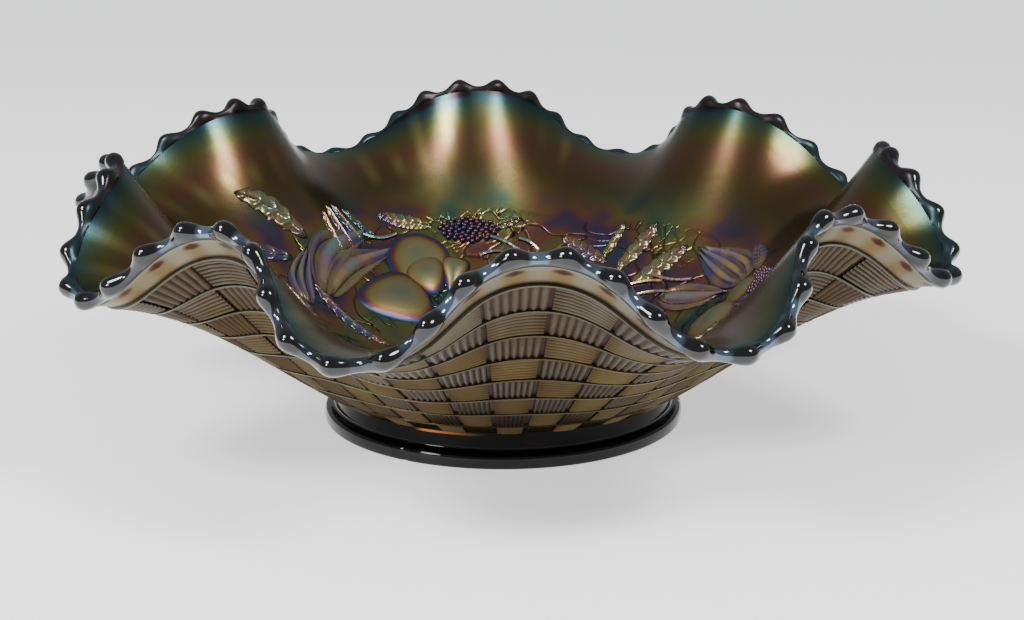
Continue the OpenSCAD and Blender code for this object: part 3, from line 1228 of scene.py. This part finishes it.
@dataclass(frozen=True)
class FruitForm:
    """A half-sunk fruit, round or drawn out to a neck along +X."""

    size: float
    rise: float
    neck: float = 0.0
    segments: int = 44
    crown: float = 1.0
    sink: float = 0.25 * MM

    def model(self) -> Piece:
        """Models the fruit flat, as a closed dome that stands on Z = 0."""
        clear_bench()
        bpy.ops.mesh.primitive_uv_sphere_add(segments=self.segments, ring_count=self.segments // 2, radius=1)
        fruit = take_new("fruit_form")
        with editing(fruit):
            bpy.ops.mesh.bisect(plane_co=(0, 0, 0.001), plane_no=(0, 0, 1), use_fill=True, clear_inner=True)
            bpy.ops.mesh.select_all(action="SELECT")
            bpy.ops.transform.resize(value=(self.size, self.size, self.rise), center_override=(0, 0, 0))
        points = points_of(fruit)
        ahead = points[:, 0] / self.size
        points[:, 0] *= 1 + self.neck * (1 + ahead) / 2
        points[:, 1] *= 1 - self.neck * ahead * 0.5
        share = np.clip(points[:, 2] / self.rise, 0, 1)
        points[:, 2] = self.rise * share**1.5
        stamp(fruit, "rise", share**1.5 * self.crown)
        points[:, 2] -= self.sink
        move_points(fruit, points)
        return fruit


@dataclass(frozen=True)
class StemForm:
    """A bowed stem along +X."""

    length: float
    bow: float
    thick: float = 0.7 * MM

    def model(self) -> Piece:
        """Models the stem as a tube along its route, sunk by half."""
        cuts = 14
        route = [
            (self.length * k / cuts, self.bow * math.sin(math.pi * k / cuts), 0.1 * MM) for k in range(cuts + 1)
        ]
        stem = draw_line("stem_form", route)
        take(stem)
        bpy.ops.object.convert(target="CURVE")
        stem.data.bevel_depth = self.thick
        stem.data.bevel_resolution = 2
        stem.data.use_fill_caps = True
        bpy.ops.object.convert(target="MESH")
        stem = bpy.context.object
        stamp(stem, "rise", np.clip(points_of(stem)[:, 2] / self.thick, 0, 1))
        return stem


@dataclass(frozen=True)
class Sprig:
    """A form, and where it lies and points on the flat pattern of a spray, in mm and degrees."""

    form: LeafForm | FruitForm | StemForm
    at: Place
    turn: float
    sprays: tuple[int, ...] = (0, 1, 2, 3)


def leaf(length: float, width: float, **more: float) -> LeafForm:
    """A leaf form from sizes in millimetres."""
    return LeafForm(length * MM, width * MM, **more)


def fruit(size: float, rise: float, **more: float) -> FruitForm:
    """A fruit form from sizes in millimetres."""
    return FruitForm(size * MM, rise * MM, **more)


def stem(length: float, bow: float) -> StemForm:
    """A stem form from sizes in millimetres."""
    return StemForm(length * MM, bow * MM)


@dataclass
class FruitRelief:
    """Four sprays of fruit, leaves and stems round the inside."""

    mould: Mould
    sprays: int = 4
    even: tuple[int, ...] = (0, 2)
    odd: tuple[int, ...] = (1, 3)
    pears: list[Sprig] = field(default_factory=list)
    apples: list[Sprig] = field(default_factory=list)
    cherries: list[Sprig] = field(default_factory=list)
    leaves: list[Sprig] = field(default_factory=list)
    stems: list[Sprig] = field(default_factory=list)

    def lay_out(self) -> None:
        """Places the forms of the even and the odd sprays."""
        even, odd = self.even, self.odd
        self.pears = [
            Sprig(fruit(10.3, 2.6, neck=0.5), (-28, 50.5), 205, even),
            Sprig(fruit(7.4, 2.3, neck=0.3), (-20, 62), 62, even),
        ]
        self.apples = [
            Sprig(fruit(11.6, 1.5), (-22, 66.5), 0, even),
            Sprig(fruit(4.8, 2.2, neck=0.9), (-10.5, 65), 262, even),
            Sprig(fruit(9.6, 2.3), (-5, 62), 0, odd),
            Sprig(fruit(7.0, 1.8), (-10, 74), 0, odd),
        ]
        self.cherries = []
        for k in range(58):
            out = math.sqrt((k + 0.5) / 58)
            spot = (-5.5 + 9.5 * out * math.cos(k * 2.4), 79.5 + 4.2 * out * math.sin(k * 2.4))
            self.cherries.append(Sprig(fruit(1.1, 1.4, segments=10, crown=0.55), spot, 0))
        self.leaves = [
            Sprig(leaf(39, 13, lobes=2, rise=0.75 * MM, bend=7.0 * MM), (-52.5, 39), 69, even),
            Sprig(leaf(37, 11, lobes=2, rise=0.7 * MM, bend=4.5 * MM), (-50.5, 40), 56, even),
            Sprig(leaf(15, 5, veins=3), (-48, 60), 128, even),
            Sprig(leaf(16, 5.5, veins=3), (-44, 64.5), 136, even),
            Sprig(leaf(16, 5.5, veins=3), (-40, 68.5), 144, even),
            Sprig(leaf(14, 5, veins=3), (-36, 72.5), 151, even),
            Sprig(leaf(25, 14, veins=5, bend=-2.0 * MM), (-60.5, 57.5), 176, even),
            Sprig(leaf(22, 11, veins=5), (-63.5, 47), 202, even),
            Sprig(leaf(24, 9, lobes=3, rise=0.8 * MM, bend=2.5 * MM), (-56, 31), 100, even),
            Sprig(leaf(29, 8, veins=8, bend=-2.0 * MM), (-56, 41.5), 332, even),
            Sprig(leaf(19, 10, veins=7), (-17, 80.5), 173),
            Sprig(leaf(12, 6, veins=5), (0.5, 79.5), 18),
            Sprig(leaf(21, 12, veins=6), (-46.5, 43), 99, odd),
            Sprig(leaf(20, 11, veins=4), (-54.5, 40), 118, odd),
            Sprig(leaf(20, 9, veins=6), (-60, 38), 220, odd),
            Sprig(leaf(14, 7, veins=4), (-62, 37), 135, odd),
            Sprig(leaf(27, 11, lobes=2, rise=0.9 * MM), (-36, 50.5), 46.5, odd),
            Sprig(leaf(32, 15, lobes=4, rise=0.9 * MM, bend=-2.0 * MM), (-17, 75.5), 197, odd),
            Sprig(leaf(28, 12, veins=7, bend=2.0 * MM), (6, 54), 66, odd),
            Sprig(leaf(26, 11, veins=7, bend=-2.0 * MM), (16, 50), 42, odd),
        ]
        self.stems = [
            Sprig(stem(10, 0.6), (1.5, 77), 330),
            Sprig(stem(8, 0.9), (10.5, 76), 323),
            Sprig(stem(7, 0.6), (-2, 70.5), 10),
            Sprig(stem(17, 2.0), (3, 54), 80),
            Sprig(stem(11, 0.8), (-46.5, 43.5), 62, odd),
            Sprig(stem(11, 0.8), (-41.5, 43.5), 62, odd),
            Sprig(stem(15, -0.8), (-46, 51), 45, odd),
            Sprig(stem(12, 1.2), (-29.5, 76), 200, even),
        ]

    def cluster(self, name: str, sprigs: Sequence[Sprig]) -> Piece:
        """Models each form once, lays its copies on the pattern and presses them on the inside.

        Args:
            name: the piece's name.
            sprigs: the forms and their places.

        Returns:
            One piece that holds them all.
        """
        laid = []
        for sprig in sprigs:
            pattern = sprig.form.model()
            seat = Matrix.Translation((sprig.at[0] * MM, sprig.at[1] * MM, 0))
            seat = seat @ Matrix.Rotation(math.radians(sprig.turn), 4, "Z")
            for spray in sprig.sprays:
                twin = copy_of(pattern)
                twin.data.transform(Matrix.Rotation(-spray * FULL_TURN / self.sprays, 4, "Z") @ seat)
                laid.append(twin)
            discard(pattern)
        piece = join(name, laid)
        stamp_pattern(piece, self.mould)
        move_points(piece, self.mould.press(points_of(piece), Face.INSIDE))
        smooth(piece, 45)
        return piece

    def build(self, fruit_glass: bpy.types.Material, leaf_glass: bpy.types.Material) -> None:
        """Makes the five kinds of relief in their finishes."""
        self.lay_out()
        for node, sprigs, slot, glass in (
            ("pears", self.pears, Slot.FRUIT, fruit_glass),
            ("apples", self.apples, Slot.FRUIT, fruit_glass),
            ("cherries", self.cherries, Slot.FRUIT, fruit_glass),
            ("leaves", self.leaves, Slot.LEAF, leaf_glass),
            ("stems", self.stems, Slot.LEAF, leaf_glass),
        ):
            finish_piece(self.cluster(node + "_glass", sprigs), [node], slot, glass)


# ---------------------------------------------------------------------------------------------
# Studio
# ---------------------------------------------------------------------------------------------


@dataclass
class Studio:
    """Pale floor, soft lights and the camera."""

    camera_bearing: float = -4.607
    camera_height: float = 15.203
    camera_distance: float = 588.4 * MM
    lens: float = 77.43
    aim: tuple[float, float] = (2.38 * MM, 28.45 * MM)

    def direction(self, bearing: float, height: float) -> Vector:
        """Unit vector from the bowl at a bearing and a height in degrees."""
        b, h = math.radians(bearing), math.radians(height)
        return Vector((math.sin(b) * math.cos(h), -math.cos(b) * math.cos(h), math.sin(h)))

    def set_camera(self) -> None:
        """Stands the camera and makes it the scene's."""
        data = bpy.data.cameras.new("camera")
        data.lens = self.lens
        data.sensor_width = 36.0
        camera = bpy.data.objects.new("camera", data)
        bpy.context.scene.collection.objects.link(camera)
        turn = math.radians(self.camera_bearing)
        target = Vector((self.aim[0] * math.cos(turn), self.aim[0] * math.sin(turn), self.aim[1]))
        back = self.direction(self.camera_bearing, self.camera_height)
        camera.location = target + back * self.camera_distance
        camera.rotation_euler = (-back).to_track_quat("-Z", "Y").to_euler()
        bpy.context.scene.camera = camera

    def lay_floor(self) -> None:
        """Lays a plain pale floor."""
        clear_bench()
        bpy.ops.mesh.primitive_plane_add(size=6.0)
        floor = take_new("studio_floor")
        mix = Recipe("floor_paint")
        colour = mix.blend(mix.noise(3, 2) * 0.1, tint("f4f4f4"), tint("ebebeb"))
        glow = {"Emission_Color": tint("ffffff"), "Emission_Strength": 0.85}
        floor.data.materials.append(mix.pour(colour, mix.bump(mix.noise(50, 2), 0.01 * MM), Roughness=0.6, **glow))

    def hang_light(self, name: str, bearing: float, height: float, away: float, size: float, power: float) -> None:
        """Hangs a round soft light that looks at the bowl.

        Args:
            name: the light's name.
            bearing: its bearing in degrees.
            height: its height in degrees.
            away: its distance.
            size: its diameter.
            power: its power in watts.
        """
        data = bpy.data.lights.new(name, "AREA")
        data.shape = "DISK"
        data.size = size
        data.energy = power
        lamp = bpy.data.objects.new(name, data)
        bpy.context.scene.collection.objects.link(lamp)
        lamp.location = self.direction(bearing, height) * away
        lamp.rotation_euler = (-lamp.location).to_track_quat("-Z", "Y").to_euler()

    def light_room(self) -> None:
        """Sets the pale surroundings and the lights."""
        world = bpy.data.worlds.new("studio")
        world.use_nodes = True
        backdrop = world.node_tree.nodes["Background"]
        backdrop.inputs["Color"].default_value = (0.92, 0.96, 1.0, 1.0)
        backdrop.inputs["Strength"].default_value = 0.35
        bpy.context.scene.world = world
        self.hang_light("lamp_left", -58, 48, 1.1, 0.34, 10)
        self.hang_light("lamp_right", 44, 50, 1.1, 0.34, 8)
        self.hang_light("lamp_low", -52, 26, 1.4, 0.3, 6)

    def build(self) -> None:
        """Sets up the whole studio."""
        self.set_camera()
        self.lay_floor()
        self.light_room()


def main() -> None:
    """Builds the bowl piece by piece around the frame."""
    logging.basicConfig(level=logging.INFO, format="%(name)s: %(message)s")
    Studio().build()
    mould = Mould()
    lining = LiningGlass().material()
    weave = WeaveGlass().material()
    Foot(mould).build(FootGlass().material(), lining)
    Wall(mould).build(weave, BorderGlass().material(), lining)
    Basketweave(mould).build(weave)
    Edge(mould).build(EdgeGlass().material())
    FruitRelief(mould).build(FruitGlass().material(), LeafGlass().material())


if __name__ == "__main__":
    main()
